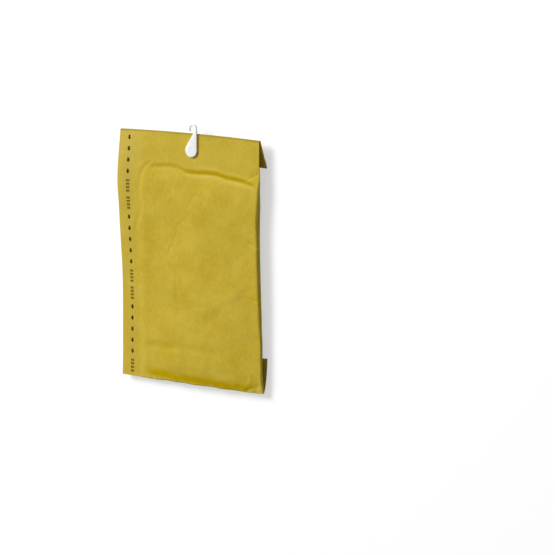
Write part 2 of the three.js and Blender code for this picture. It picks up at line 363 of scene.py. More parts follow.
# %% Places along the strip
POCKET_START = -101.6
FLAP_START = -102.9
FLAP_END = -131.5
TURN_LENGTH = FOLD_RADIUS * (math.pi - SPLAY)
LEG_START = FOLD_Y + TURN_LENGTH
SHEET_END = LEG_START + FOLD_BACK_LEG
ROUND_SHEET = SIDE_RADIUS * math.pi / 2
ROUND_START = HALF_WIDTH - SIDE_RADIUS


def across(sheet_x, y):
    """Place across the bag of a point of the sheet. The last part goes round the right side."""
    start = right_edge(y) - SIDE_RADIUS
    angle = np.clip((sheet_x - ROUND_START) / ROUND_SHEET, 0, 1) * math.pi / 2
    left = through(LEFT_SIDE, y)
    flat = left + (sheet_x + HALF_WIDTH) * (start - left) / (ROUND_START + HALF_WIDTH)
    return np.where(sheet_x <= ROUND_START, flat, start + SIDE_RADIUS * np.sin(angle))


print("flat strip: %.1f mm long" % (SHEET_END - FLAP_END))

# %% [markdown]
# ## Points of the pocket
# The front carries the creases, soft lumps of several sizes, and small dents along its bottom
# roll. The back is smoother, because it lies on the table, and it stays a paper's thickness below
# the front.


# %% The pocket folded
def front_lumps(x, y):
    """Soft lumps of four sizes, the largest of them slanting."""
    soft = 0.95 * lumps(x + 0.6 * y, (y - 0.5 * x) / 2.2, 24, 1.7) + 0.5 * lumps(x, y, 19, 3.3)
    return soft + 0.2 * lumps(x, y, 8, 4.2) + 0.1 * lumps(x, y, 4, 8.1) * rise(y, 60, 70)


def bottom_dents(x, y):
    """Small dents along the bottom roll, and crumpling at its right corner."""
    dented = 0.4 * lumps(x, y, 6, 2.9) * (1 - rise(y, -99, -86)) * rise(x, -52, -40)
    corner = np.exp(-((x - 64) ** 2 + (y + 98) ** 2) / 90)
    return dented + 0.8 * corner * lumps(x, y, 3.6, 6.6)


def pocket_point(sheet_x, s, h):
    y_front = s - 0.9 * (1 - rise(s, POCKET_START, POCKET_START + BOTTOM_ROLL))
    x = across(sheet_x, s)
    filled = rise(x, SEAM_END + 2, SEAM_END + 14)
    filled = filled * rise(y_front, -98, -88) * (1 - rise(y_front, 60, 78))
    side_round = front_round(y_front)
    side = quarter_round(x - (right_edge(y_front) - side_round), side_round)
    uneven = front_lumps(x, y_front) * (0.3 + 0.7 * filled) + bottom_dents(x, y_front)
    z_front = front_height(x, y_front) + (creased(x, y_front) + uneven) * side
    z_back = back_height(x, s)
    back_lumps = 0.5 * lumps(x, s, 26, 5.5) + 0.25 * lumps(x, s, 11, 2.2)
    z_back += back_lumps * np.clip(z_back - 0.2, 0, 1)
    z_back = np.minimum(z_back, z_front - 0.95 * rise(y_front, -99, -95))
    z_back = np.clip(z_back, 0, None)
    share = (h + 1) / 2
    y = s + (y_front - s) * share
    z = z_back + (z_front - z_back) * share
    return x, y + bow(x) * y / HALF_LENGTH, z


print("pocket: %.1f mm along the strip" % (FOLD_Y - POCKET_START))

# %% [markdown]
# ## Points of the folded-back end
# The top end turns round a tight fold and stands off the back at a small angle. It puffs up near
# its cut edge, with a groove where its walls are glued, and sways along its width.

# %% The folded-back end folded
PUFF_FROM_END, PUFF_SPREAD, PUFF_HEIGHT = 4.5, 3.5, 0.3
GLUE_FROM_END, GLUE_SPREAD, GLUE_DEPTH = 9.2, 0.9, 0.35
WIDER_AT_END = 0.016


def top_point(sheet_x, s, h):
    """Round the top fold and down the folded-back end."""
    at_fold = np.full_like(s, FOLD_Y)
    x = across(sheet_x, at_fold)
    radius = FOLD_RADIUS + WALL_PAIR / 2 * h
    angle = np.clip((s - FOLD_Y) / FOLD_RADIUS, 0, math.pi - SPLAY)
    leg = np.clip(s - LEG_START, 0, None)
    puff = PUFF_HEIGHT * np.exp(-(((s - SHEET_END + PUFF_FROM_END) / PUFF_SPREAD) ** 2))
    puff -= GLUE_DEPTH * np.exp(-(((s - SHEET_END + GLUE_FROM_END) / GLUE_SPREAD) ** 2))
    radius = radius + puff * h * rise(leg, 2, 6)
    sway = 0.45 * np.sin(x / 19 + 0.8) * leg / FOLD_BACK_LEG
    y = FOLD_Y + radius * np.sin(angle) - leg * math.cos(SPLAY)
    z = middle_height(x, at_fold) - FOLD_RADIUS + radius * np.cos(angle) - leg * math.sin(SPLAY)
    return x * (1 + WIDER_AT_END * leg / FOLD_BACK_LEG), y + bow(x), z + sway


print("turn at the top fold: %.1f mm of paper" % TURN_LENGTH)

# %% [markdown]
# ## Points of the closure flap
# The flap is one ply that turns under the bottom fold and sinks to the table along a soft bend
# with four guide points. Where the pocket's two walls become one ply, the outside of the turn is
# an arc and its inside a nearly straight line.

# %% The closure flap folded
FLAP_LINE = [(-101.9, 5.1), (-97.5, 3.1), (-90.0, 1.3), (-74.6, 0.75)]
BEND_RADIUS = 0.9
INSIDE_HOLLOW = 0.15


def soft_bend(p, t):
    """A place on the bend from p[0] to p[3], drawn towards p[1] and p[2] on its way."""
    first = p[0] * (1 - t) ** 3 + 3 * p[1] * t * (1 - t) ** 2
    return first + 3 * p[2] * t * t * (1 - t) + p[3] * t**3


def flap_curve(t):
    """A place on the flap's middle line and the unit step along it, for t from 0 to 1."""
    p = np.array(FLAP_LINE)
    way = (p[1] - p[0]) * (1 - t) ** 2 + 2 * (p[2] - p[1]) * t * (1 - t) + (p[3] - p[2]) * t * t
    return soft_bend(p, t), way / np.linalg.norm(way, axis=1)[:, None]


def flap_bend(turned, h):
    """The bend between pocket and flap, for a turned share from 0 at the pocket to 1."""
    root = np.array(FLAP_LINE[0])
    begin = np.array(FLAP_LINE[1]) - root
    slope = math.atan2(-begin[1], begin[0])
    outwards = np.array([math.sin(slope), math.cos(slope)])
    centre = root - outwards * (FLAP_PLY / 2 - BEND_RADIUS)
    angle = math.pi + turned * (math.pi / 2 - slope)
    outside = centre + BEND_RADIUS * np.stack([np.cos(angle), np.sin(angle)], 1)
    inner_end = root + outwards * FLAP_PLY / 2
    inner_start = np.array([POCKET_START, BOTTOM_FOLD_HEIGHT - WALL_PAIR / 2])
    inside = inner_start + (inner_end - inner_start) * turned[:, None]
    inside[:, 0] -= INSIDE_HOLLOW * np.sin(math.pi * turned)
    return inside + (outside - inside) * ((h + 1) / 2)[:, None]


def flap_point(sheet_x, s, h):
    """Round the bottom fold and back under the pocket."""
    x = across(sheet_x, np.full_like(s, -HALF_LENGTH))
    share = np.clip((FLAP_START - s) / (FLAP_START - FLAP_END), 0, 1)
    point, way = flap_curve(share[:, None])
    down = np.stack([way[:, 1], -way[:, 0]], 1)
    flap = point + down * (FLAP_PLY / 2 * h)[:, None]
    turned = np.clip((POCKET_START - s) / (POCKET_START - FLAP_START), 0, 1)
    yz = np.where((s > FLAP_START)[:, None], flap_bend(turned, h), flap)
    sway = 0.12 * np.sin(x / 14 + 2.0) * rise(share, 0.3, 1)
    return x, yz[:, 0] - bow(x), yz[:, 1] + sway


def folded(sheet_x, s, h):
    """The whole rule: each stretch of the strip by its own part of it."""
    out = np.zeros((len(s), 3))
    for rule, mask in (
        (flap_point, s < POCKET_START),
        (pocket_point, (s >= POCKET_START) & (s <= FOLD_Y)),
        (top_point, s > FOLD_Y),
    ):
        out[mask] = np.stack(rule(sheet_x[mask], s[mask], h[mask]), 1)
    out[:, 1] += through(BOTTOM_WANDER, out[:, 0]) * (1 - rise(out[:, 1], -101, -90))
    return out


print("flap: %.1f mm along the strip" % (FLAP_START - FLAP_END))

# %% [markdown]
# ## Lines of the flat strip
# A grid gives even faces that bend well. Its rows lie close together where the paper turns
# sharply. Its columns are about 0.85 mm apart, so that each second one can be set back at the
# cut ends for their saw teeth.

# %% Lines of the strip
HOLE_RADIUS = 2.25
HOLE_ROWS = 3
HOLE_EASE = 4
PITCH = 0.85
NEAR_HOLE = 6 * PITCH
hole_low = HOOK_Y / (1 + bow(HOLE_X) / HALF_LENGTH)
hole_drop = FOLD_Y + FOLD_RADIUS * math.sin(SPLAY) - HOOK_Y + bow(HOLE_X)
hole_high = LEG_START + hole_drop / math.cos(SPLAY)


def lines(*stretches):
    """Places of grid lines: each stretch is (end, number of cells) after a start."""
    places = [stretches[0]]
    for end, cells in stretches[1:]:
        places += list(np.linspace(places[-1], end, cells + 1)[1:])
    return np.array(places)


roll_angles = np.linspace(90, 0, 13)[1:]
columns = lines(
    -HALF_WIDTH, (-69.7, 1), (HOLE_X, 86), (ROUND_START, 72), (ROUND_START + ROUND_SHEET, 12)
)
flap_rows = lines(
    FLAP_END, (FLAP_END + 0.3, 1), (FLAP_START - 0.1, 22), (FLAP_START, 1), (POCKET_START, 6)
)
roll_rows = POCKET_START + BOTTOM_ROLL * (1 - np.sin(np.radians(roll_angles)))
upper_rows = lines(
    POCKET_START + BOTTOM_ROLL, (60, 115), (84, 32),
    (hole_low - NEAR_HOLE, 1), (hole_low + NEAR_HOLE, 12), (FOLD_Y, 5), (LEG_START, 10),
    (hole_high - NEAR_HOLE, 6), (hole_high + NEAR_HOLE, 12), (SHEET_END - 0.3, 5), (SHEET_END, 1),
)
rows = np.concatenate([flap_rows, roll_rows, upper_rows[1:]])
print("grid lines:", len(columns), "across,", len(rows), "along")

# %% [markdown]
# ## Cutting and punching
# The maker trims both ends with a saw-toothed knife and punches two holes, which lie over each
# other once the end is folded back. A boolean could punch them, but it leaves ragged faces. So
# the grid lines near each hole are pushed onto rings, and what lies inside the smallest ring is
# taken out.

# %% The strip, cut and punched
TOOTH = 0.5
strip = bmesh.new()
bmesh.ops.create_grid(strip, x_segments=len(columns) - 1, y_segments=len(rows) - 1, size=0.5)
hole_column = int(np.argmin(abs(columns - HOLE_X)))
hole_rows = [int(np.argmin(abs(rows - place))) for place in (hole_low, hole_high)]
inside_holes = set()
for vert in strip.verts:
    i = round((vert.co.x + 0.5) * (len(columns) - 1))
    j = round((vert.co.y + 0.5) * (len(rows) - 1))
    place = Vector((columns[i], rows[j], 0))
    if i % 2 and j in (0, len(rows) - 1):
        place.y += TOOTH if j == 0 else -TOOTH
    for row in hole_rows:
        away = max(abs(i - hole_column), abs(j - row))
        if 0 < away < HOLE_ROWS + HOLE_EASE:
            centre = Vector((HOLE_X, rows[row], 0))
            way = Vector(((i - hole_column), (j - row), 0)).normalized()
            ring = centre + way * (HOLE_RADIUS + (away - HOLE_ROWS) * PITCH)
            place = ring.lerp(place, float(rise(away, HOLE_ROWS, HOLE_ROWS + HOLE_EASE)))
        if away < HOLE_ROWS:
            inside_holes.add(vert)
    vert.co = place
bmesh.ops.delete(strip, geom=list(inside_holes), context="VERTS")
print("punched out:", len(inside_holes), "vertices")

# %% [markdown]
# ## Giving the strip two faces
# The sheet needs a front and a back that part where the pocket is filled. Solidify would give one
# even thickness, so the grid is extruded, and the folding rule puts each face in its place. The
# cut edges get two more rows.


# %% The strip given two faces
def thickened(bm, faces, height):
    """Extrude faces upwards, and keep the old ones as the underside."""
    made = bmesh.ops.extrude_face_region(bm, geom=faces, use_keep_orig=True)
    upper = [part for part in made["geom"] if isinstance(part, bmesh.types.BMVert)]
    bmesh.ops.translate(bm, verts=upper, vec=(0, 0, height))


back_faces = list(strip.faces)
for vert in strip.verts:
    vert.co.z = -1
thickened(strip, back_faces, 2)
bmesh.ops.reverse_faces(strip, faces=back_faces)
wall_edges = [e for e in strip.edges if abs(e.verts[0].co.z - e.verts[1].co.z) > 1]
bmesh.ops.subdivide_edges(strip, edges=wall_edges, cuts=2)
print("strip:", len(strip.faces), "faces")

# %% [markdown]
# ## Folding the strip
# A map of the flat paper is kept first, 300 mm to a side, with the sheet's front on its left half
# and its back on its right half, so that print and grain stay on the paper when it is folded. The
# cut edges get a slight round, as crushed paper has.

# %% Fold it
SHEET_PAGE = 300.0
FRONT_MIDDLE = 75.0
BACK_MIDDLE = 225.0
PAGE_FOOT = 151.5
paper_map = strip.loops.layers.uv.new("sheet")
for face in strip.faces:
    on_back = face.calc_center_median().z < -0.2
    for loop in face.loops:
        x, s, h = loop.vert.co
        u = BACK_MIDDLE - x if on_back else FRONT_MIDDLE + x
        loop[paper_map].uv = (u / SHEET_PAGE, (s + PAGE_FOOT) / SHEET_PAGE)
sheet_x, s, h = np.array([v.co for v in strip.verts]).T
round_off = 1 - h**2
at_left = sheet_x <= -HALF_WIDTH + 0.01
at_flap_end = s <= FLAP_END + TOOTH + 0.05
at_top_end = s >= SHEET_END - TOOTH - 0.05
placed = folded(sheet_x, np.clip(s, FLAP_END, SHEET_END), h)
placed[:, 0] -= np.where(at_left, 0.3 * round_off, 0)
placed[:, 1] += np.where(at_flap_end, 0.12 * round_off, 0)
placed[:, 1] -= np.where(at_top_end, 0.2 * round_off, 0)
for vert, place in zip(strip.verts, placed):
    vert.co = Vector(place) * MM
bag_mesh = meshed("paper_bag", strip)
bag_mesh.shade_smooth()
print("bag box in mm:", placed.min(0).round(2), placed.max(0).round(2))

# %% [markdown]
# ## Painted shade and highlight
# Shade and light are painted into the paper: deeper, more yellow on the main crease's upper wall
# and along the bottom roll, and paler on the bank below that crease, the lip of the bottom fold,
# the corner, the left seam and the top band. The crease lines already say where this goes, so each
# point
# of the mesh keeps one number: above 0 for painted shade, and below 0 for painted highlight.

# %% Painted shade and highlight places
in_front = (s > POCKET_START) & (s < FOLD_Y) & (h > 0)
folded_x = across(sheet_x, s)
wander = 0.8 * lumps(folded_x, 0 * s, 9, 3.7) + 0.7 * lumps(folded_x, s, 3.5, 9.7)
# Painted shade on the main crease's upper wall, painted highlight on the bank below it.
shade = crease(s, folded_x, MAIN_CREASE, MAIN_SHADE)
# Painted shade along the bottom roll, its edge wandering.
shade += crease(s + wander, folded_x, BOTTOM_BAND, BAND_SHADE)
# Painted highlight on the lip of the bottom fold.
lip = (1 - rise(s, POCKET_START - 0.2, POCKET_START + 1.2)) * rise(folded_x, -54, -40)
shade -= 0.45 * lip * (1 - rise(folded_x, 0, 30))
# Painted highlight on the crumpled bottom-right corner.
corner = np.exp(-((folded_x - 66) ** 2 + (s + 101) ** 2) / 20)
shade -= 0.8 * corner * (0.5 + lumps(folded_x, s, 3, 1.1))
# Painted light: the left seam paler, more so towards the top end.
left_seam = (0.12 + 0.22 * rise(s, 20, 95)) * (1 - rise(folded_x, -62, -40))
shade -= left_seam
# Painted light: the top band a little paler.
top_band = 0.08 * rise(s, 74, 84)
shade -= top_band
# Only the front keeps the number: painted shade above 0, painted highlight below 0.
painted_shade_and_highlight = np.where(in_front, np.clip(shade, -0.6, 1), 0).astype(np.float32)
bag_mesh.attributes.new("painted_shade_and_highlight", "FLOAT", "POINT").data.foreach_set("value", painted_shade_and_highlight)
bag = put_out("paper_bag", bag_mesh)
print("pressed points: %d of %d" % ((painted_shade_and_highlight > 0.1).sum(), len(painted_shade_and_highlight)))

# %% [markdown]
# ## Wiring for finishes
# A finish is a web of small nodes. It can be wired by hand in the editor, but code can name what
# each node is for. These helpers link or set a socket, do sums, and give a soft-edged mark.


# %% Helpers for arithmetic
def join(tree, value, socket):
    """Link a value that comes from a node, or set a plain one."""
    if isinstance(value, bpy.types.NodeSocket):
        tree.links.new(value, socket)
    else:
        socket.default_value = value


def sums(tree, operation, *values):
    node = tree.nodes.new("ShaderNodeMath")
    node.operation = operation
    for value, socket in zip(values, node.inputs):
        join(tree, value, socket)
    return node.outputs[0]


def times(tree, *values):
    """All the values multiplied together."""
    product = values[0]
    for value in values[1:]:
        product = sums(tree, "MULTIPLY", product, value)
    return product


def off(tree, value, line):
    """Distance from a line, the same on both of its sides."""
    return sums(tree, "ABSOLUTE", sums(tree, "SUBTRACT", value, line))


def in_repeat(tree, value, pitch):
    """Place in a repeat, from minus half of it to half."""
    return sums(tree, "SUBTRACT", sums(tree, "FLOORED_MODULO", value, pitch), pitch / 2)


def ramp(tree, value, low, high, to_low=0.0, to_high=1.0):
    node = tree.nodes.new("ShaderNodeMapRange")
    node.interpolation_type = "SMOOTHSTEP"
    for given, socket in zip((value, low, high, to_low, to_high), node.inputs):
        join(tree, given, socket)
    return node.outputs[0]


def under(tree, value, limit, soft=0.12):
    """1 where the value is below the limit, with a soft edge."""
    return ramp(tree, sums(tree, "SUBTRACT", value, limit), -soft, soft, 1.0, 0.0)


print("helpers ready: join, sums, times, off, ramp, under")

# %% [markdown]
# ## Colours, clouds and groups
# A colour is written as a picture editor gives it, and cloudy noise by the size of its clouds.
# What makes a web hard to read goes in a group of its own with named sockets.


# %% Helpers for colours, clouds and groups
def paint(red, green, blue):
    """A colour from 0 to 255, turned into the light that it stands for."""
    channel = [c / 255 for c in (red, green, blue)]
    light = [c / 12.92 if c <= 0.04045 else ((c + 0.055) / 1.055) ** 2.4 for c in channel]
    return (*light, 1.0)


def plug(tree, node, **values):
    """Link or set a node's sockets by name. A _ in a name stands for a space."""
    for name, value in values.items():
        join(tree, value, node.inputs[name.replace("_", " ")])


def mixed(tree, share, a, b):
    node = tree.nodes.new("ShaderNodeMix")
    node.data_type = "RGBA"
    for value, index in ((share, 0), (a, 6), (b, 7)):
        join(tree, value, node.inputs[index])
    return node.outputs[2]


def clouds(tree, place, size, detail=2.0, stretch=(1, 1, 1)):
    """Noise from 0 to 1 with clouds of that size, in the unit of the place."""
    scaled = tree.nodes.new("ShaderNodeVectorMath")
    scaled.operation = "MULTIPLY"
    join(tree, place, scaled.inputs[0])
    scaled.inputs[1].default_value = [k / size for k in stretch]
    node = tree.nodes.new("ShaderNodeTexNoise")
    plug(tree, node, Vector=scaled.outputs[0], Scale=1.0, Detail=detail, Roughness=0.5)
    return node.outputs[0]


def new_group(name, takes, gives):
    tree = bpy.data.node_groups.new(name, "ShaderNodeTree")
    for title, kind in takes:
        tree.interface.new_socket(title, in_out="INPUT", socket_type=kind)
    for title, kind in gives:
        tree.interface.new_socket(title, in_out="OUTPUT", socket_type=kind)
    inner = tree.nodes.new("NodeGroupInput").outputs
    return tree, inner, tree.nodes.new("NodeGroupOutput").inputs


def use_group(tree, group, *values):
    node = tree.nodes.new("ShaderNodeGroup")
    node.node_tree = group
    for value, socket in zip(values, node.inputs):
        join(tree, value, socket)
    return node.outputs


def new_finish(name):
    finish = bpy.data.materials.new(name)
    finish.use_nodes = True
    return finish, finish.node_tree, finish.node_tree.nodes["Principled BSDF"]


def lifted(tree, skin, relief, strength, distance):
    """Let a relief tilt the surface."""
    bump = tree.nodes.new("ShaderNodeBump")
    plug(tree, bump, Height=relief, Strength=strength, Distance=distance)
    plug(tree, skin, Normal=bump.outputs[0])


print("paper brown as light:", [round(c, 3) for c in paint(203, 179, 68)])

# %% [markdown]
# ## Paper
# Brown wrapping paper is never one flat colour. Its pulp settles in soft clouds, its fibres lie
# mostly along the roll, and small specks of bark show. All come from noise read off the flat
# sheet's map, so that they bend with the paper. The finer ones also lift the surface a little.

# %% The paper's cloud, fibre and fleck
TONE_GIVES = [(title, "NodeSocketFloat") for title in ("Lightness", "Height", "Fleck")]
web, takes, gives = new_group("paper tone", [("Place", "NodeSocketVector")], TONE_GIVES)
broad = clouds(web, takes[0], 22.0, 2.5)
formation = clouds(web, takes[0], 2.6, 4.0, (1, 0.7, 1))
fibres = clouds(web, takes[0], 0.5, 3.0, (1, 0.12, 1))
crossed = clouds(web, takes[0], 0.6, 2.0, (0.2, 1, 1))
bark = clouds(web, takes[0], 0.8, 0.0, (1, 0.6, 1))
light = 0.0
for cloud, strength in ((broad, 1.5), (formation, 1.2), (fibres, 0.85), (crossed, 0.55)):
    centred = sums(web, "SUBTRACT", cloud, 0.5)
    light = sums(web, "MULTIPLY_ADD", centred, strength, light)
join(web, sums(web, "ADD", light, 0.5), gives["Lightness"])
height = 0.0
for cloud, lift in ((formation, 0.10), (fibres, 0.025), (crossed, 0.015)):
    height = sums(web, "MULTIPLY_ADD", cloud, lift, height)
join(web, height, gives["Height"])
join(web, ramp(web, bark, 0.74, 0.82), gives["Fleck"])
paper_tone = web
print("paper tone:", len(web.nodes), "nodes")

# %% [markdown]
# ## Print on the tear strip
# The strip repeats a row of five small arrows and two runs of plain blocks, every 75 mm. Each
# mark is a distance from a line, so it is plain arithmetic on the two sheet coordinates, where an
# image would blur at close range.

# %% Arrows of the tear strip
PRINT_TAKES = [("Across", "NodeSocketFloat"), ("Along", "NodeSocketFloat")]
PRINT_GIVES = [("Ink", "NodeSocketFloat")]
STRIP_X = -60.2
REPEAT = 75.0
ARROW_PITCH = 9.3
ARROWS = 5 * ARROW_PITCH
FIRST_ARROW = 30.2
STEM_HALF_WIDTH, STEM_HALF_LENGTH, STEM_MIDDLE = 0.95, 1.15, -1.0
HEAD_HALF_WIDTH, HEAD_SLOPE, HEAD_START = 1.5, 0.8, 0.3

web, takes, gives = new_group("tear strip print", PRINT_TAKES, PRINT_GIVES)
off_line = off(web, takes["Across"], STRIP_X)
down = sums(web, "SUBTRACT", FIRST_ARROW + ARROW_PITCH / 2, takes["Along"])
down = sums(web, "FLOORED_MODULO", down, REPEAT)
in_arrow = in_repeat(web, down, ARROW_PITCH)
stem = under(web, off(web, in_arrow, STEM_MIDDLE), STEM_HALF_LENGTH)
stem = times(web, under(web, off_line, STEM_HALF_WIDTH), stem)
slope = sums(web, "MULTIPLY_ADD", in_arrow, HEAD_SLOPE, off_line)
head = under(web, times(web, in_arrow, -1.0), HEAD_START)
head = times(web, under(web, slope, HEAD_HALF_WIDTH), head)
arrow = sums(web, "MAXIMUM", stem, head)
arrow = times(web, arrow, under(web, down, ARROWS))
print("arrows:", len(web.nodes), "nodes")

# %% [markdown]
# ## Blocks of the tear strip
# After the arrows come two runs of four small blocks with a gap between them. They are a little
# paler than the arrows, as thin print is.

# %% Blocks of the tear strip
BLOCK_PITCH = 2.85
BLOCK_HALF_LENGTH, BLOCK_HALF_WIDTH = 0.95, 1.65
BLOCK_INK = 0.72
RUN_HALF = 4.5 * BLOCK_PITCH
GAP_HALF = 0.5 * BLOCK_PITCH

in_run = sums(web, "SUBTRACT", down, ARROWS + 1.2)
in_block = sums(web, "ABSOLUTE", in_repeat(web, in_run, BLOCK_PITCH))
block = under(web, in_block, BLOCK_HALF_LENGTH)
block = times(web, block, under(web, off_line, BLOCK_HALF_WIDTH))
off_middle = off(web, in_run, RUN_HALF)
run = under(web, off_middle, RUN_HALF)
gap = times(web, under(web, off_middle, GAP_HALF, 0.02), BLOCK_INK)
block = times(web, block, run, sums(web, "SUBTRACT", BLOCK_INK, gap))
join(web, sums(web, "MAXIMUM", arrow, block), gives["Ink"])
strip_print = web
print("tear strip print:", len(web.nodes), "nodes")

# %% [markdown]
# ## Print on the back
# The back carries a column of plain rings, a line of blocks and a panel of even bars, repeated
# every 89 mm. They are made as the marks of the tear strip are. A ring is the distance from its
# centre compared with its radius.

# %% Rings, blocks and bars
BACK_REPEAT = 89.0
BACK_START = 119.5
RING_X, RING_RADIUS, RING_HALF_LINE = -6.0, 5.2, 0.42
RING_PLACES = (10.0, 42.5, 75.0)
BLOCKS_X, BLOCKS_HALF_WIDTH, BLOCKS_INK = -21.0, 2.1, 0.7
LINE_PITCH, LINE_HALF_LENGTH = 4.4, 1.5
LINE_RUNS = ((17.6, 44.0), (48.4, 61.6), (66.0, 79.2))
BARS_X, BARS_HALF_WIDTH = -35.5, 5.5
BARS_MIDDLE, BARS_HALF_LENGTH = 46.5, 15.5
BAR_PITCH, BAR_HALF_LENGTH = 1.55, 0.4

web, takes, gives = new_group("back print", PRINT_TAKES, PRINT_GIVES)
down = sums(web, "SUBTRACT", BACK_START, takes["Along"])
down = sums(web, "FLOORED_MODULO", down, BACK_REPEAT)
nearest = off(web, down, RING_PLACES[0])
for ring_place in RING_PLACES[1:]:
    nearest = sums(web, "MINIMUM", nearest, off(web, down, ring_place))
sideways = off(web, takes["Across"], RING_X)
squares = [sums(web, "POWER", side, 2.0) for side in (nearest, sideways)]
reach = sums(web, "SQRT", sums(web, "ADD", *squares))
ink = under(web, off(web, reach, RING_RADIUS), RING_HALF_LINE)
in_line = sums(web, "ABSOLUTE", in_repeat(web, down, LINE_PITCH))
blocks = under(web, off(web, takes["Across"], BLOCKS_X), BLOCKS_HALF_WIDTH)
blocks = times(web, blocks, under(web, in_line, LINE_HALF_LENGTH))
for low, high in LINE_RUNS:
    spot = under(web, off(web, down, (low + high) / 2), (high - low) / 2)
    ink = sums(web, "MAXIMUM", ink, times(web, blocks, spot, BLOCKS_INK))
in_bar = sums(web, "ABSOLUTE", in_repeat(web, down, BAR_PITCH))
panel = under(web, off(web, takes["Across"], BARS_X), BARS_HALF_WIDTH)
panel = times(web, panel, under(web, off(web, down, BARS_MIDDLE), BARS_HALF_LENGTH))
bars = times(web, panel, under(web, in_bar, BAR_HALF_LENGTH, 0.1))
join(web, sums(web, "MAXIMUM", ink, bars), gives["Ink"])
back_print = web
print("back print:", len(web.nodes), "nodes")

# %% [markdown]
# ## Reading the flat sheet
# The finished paper starts from where each point lay on the flat sheet. Object coordinates would
# run straight through the folds, so the sheet's own map is read instead.

# %% Places and ink of the paper material
paper, tree, skin = new_finish("bag_paper")
sheet_map = tree.nodes.new("ShaderNodeUVMap")
sheet_map.uv_map = "sheet"
place = tree.nodes.new("ShaderNodeVectorMath")
place.operation = "SCALE"
plug(tree, place, Vector=sheet_map.outputs[0], Scale=SHEET_PAGE)
apart = tree.nodes.new("ShaderNodeSeparateXYZ")
plug(tree, apart, Vector=place.outputs[0])
along = sums(tree, "SUBTRACT", apart.outputs[1], PAGE_FOOT)
front_across = sums(tree, "SUBTRACT", apart.outputs[0], FRONT_MIDDLE)
back_across = sums(tree, "SUBTRACT", BACK_MIDDLE, apart.outputs[0])
tone = use_group(tree, paper_tone, place.outputs[0])
wear = clouds(tree, place.outputs[0], 0.7)
front_ink = use_group(tree, strip_print, front_across, along)["Ink"]
back_ink = use_group(tree, back_print, back_across, along)["Ink"]
ink = sums(tree, "MAXIMUM", front_ink, back_ink)
ink = times(tree, ink, ramp(tree, wear, 0.25, 0.5, 0.75, 0.97))
print("paper so far:", len(tree.nodes), "nodes")

# %% [markdown]
# ## Slit, seam and fold
# Three fine lines cross the sheet: a slit near the flap's free end that curves like a J, the
# overlap where the back is glued, and a line of painted shade along the crown of the top fold.
# They are too fine to cut into the mesh, so they are marks in the material, and the first two also
# change its relief.

# %% Fine lines of the paper
SLIT_FOOT, SLIT_CURVE, SLIT_REACH = 127.3, -0.4, 3.4
SLIT_X = STRIP_X - 5.0
SLIT_MIDDLE, SLIT_HALF_LENGTH, SLIT_HALF_WIDTH = -119.0, 8.3, 0.25
OVERLAP_X = 11.7

slit_turn = sums(tree, "EXPONENT", times(tree, sums(tree, "ADD", along, SLIT_FOOT), SLIT_CURVE))
slit_line = sums(tree, "MULTIPLY_ADD", slit_turn, SLIT_REACH, SLIT_X)
slit = under(tree, off(tree, front_across, slit_line), SLIT_HALF_WIDTH)
slit = times(tree, slit, under(tree, off(tree, along, SLIT_MIDDLE), SLIT_HALF_LENGTH))
overlap = ramp(tree, back_across, OVERLAP_X - 0.2, OVERLAP_X + 0.4)
overlap_line = under(tree, off(tree, back_across, OVERLAP_X), 0.15, 0.2)
# Painted shade along the crown of the top fold, on the sheet's front only.
fold_painted_shade = under(tree, off(tree, along, FOLD_Y + 0.6), 0.6, 0.35)
on_front = sums(tree, "LESS_THAN", apart.outputs[0], SHEET_PAGE / 2)
fold_painted_shade = times(tree, fold_painted_shade, on_front)
print("paper with its fine lines:", len(tree.nodes), "nodes")

# %% [markdown]
# ## The finished paper
# The colours are laid over each other: the pulp's two browns, bark, painted shade and painted
# highlight, the glue line, painted shade on the top fold, ink, and the slit on top. They could be
# painted as one picture, but layers can be changed one by one. Ink soaks in, so it changes the
# colour and leaves the gloss alone.

# %% Colour and relief of the paper
# The mesh's number: painted shade above 0, painted highlight below 0.
shade_and_highlight_node = tree.nodes.new("ShaderNodeAttribute")
shade_and_highlight_node.attribute_name = "painted_shade_and_highlight"
painted_shade_share = sums(tree, "MAXIMUM", shade_and_highlight_node.outputs["Fac"], 0.0)
painted_highlight_share = sums(tree, "MAXIMUM", times(tree, shade_and_highlight_node.outputs["Fac"], -1.0), 0.0)
colour = mixed(tree, tone["Lightness"], paint(189, 162, 43), paint(203, 179, 68))
for share, tint in (
    (times(tree, tone["Fleck"], 0.35), paint(140, 112, 40)),
    # Painted shade, deeper and more yellow.
    (painted_shade_share, paint(186, 157, 0)),
    # Painted highlight, paler.
    (painted_highlight_share, paint(212, 189, 98)),
    (times(tree, overlap_line, 0.45), paint(150, 122, 20)),
    # Painted shade on the crown of the top fold.
    (times(tree, fold_painted_shade, 0.45), paint(112, 98, 36)),
    (ink, paint(42, 34, 12)),
    (slit, paint(60, 47, 8)),
):
    colour = mixed(tree, share, colour, tint)
plug(tree, skin, Base_Color=colour, Roughness=ramp(tree, wear, 0.2, 0.8, 0.74, 0.9))
plug(tree, skin, Specular_IOR_Level=0.04)
relief = sums(tree, "MULTIPLY_ADD", slit, -0.3, tone["Height"])
relief = sums(tree, "MULTIPLY_ADD", overlap, 0.25, relief)
lifted(tree, skin, relief, 1.0, MM)
bag_mesh.materials.append(paper)
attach(bag, "bag")
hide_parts("padded_bag")
print("finished paper:", len(tree.nodes), "nodes")

# %% [markdown]
# ## The hang hook
# The hook is one moulding: a drop-shaped plate that narrows into a small open crook, with a stud
# behind. A curve object could draw its outline, but arcs that meet exactly are simpler to set out
# by their centres. Each arc is a point spun round its centre, and soft bends join them.


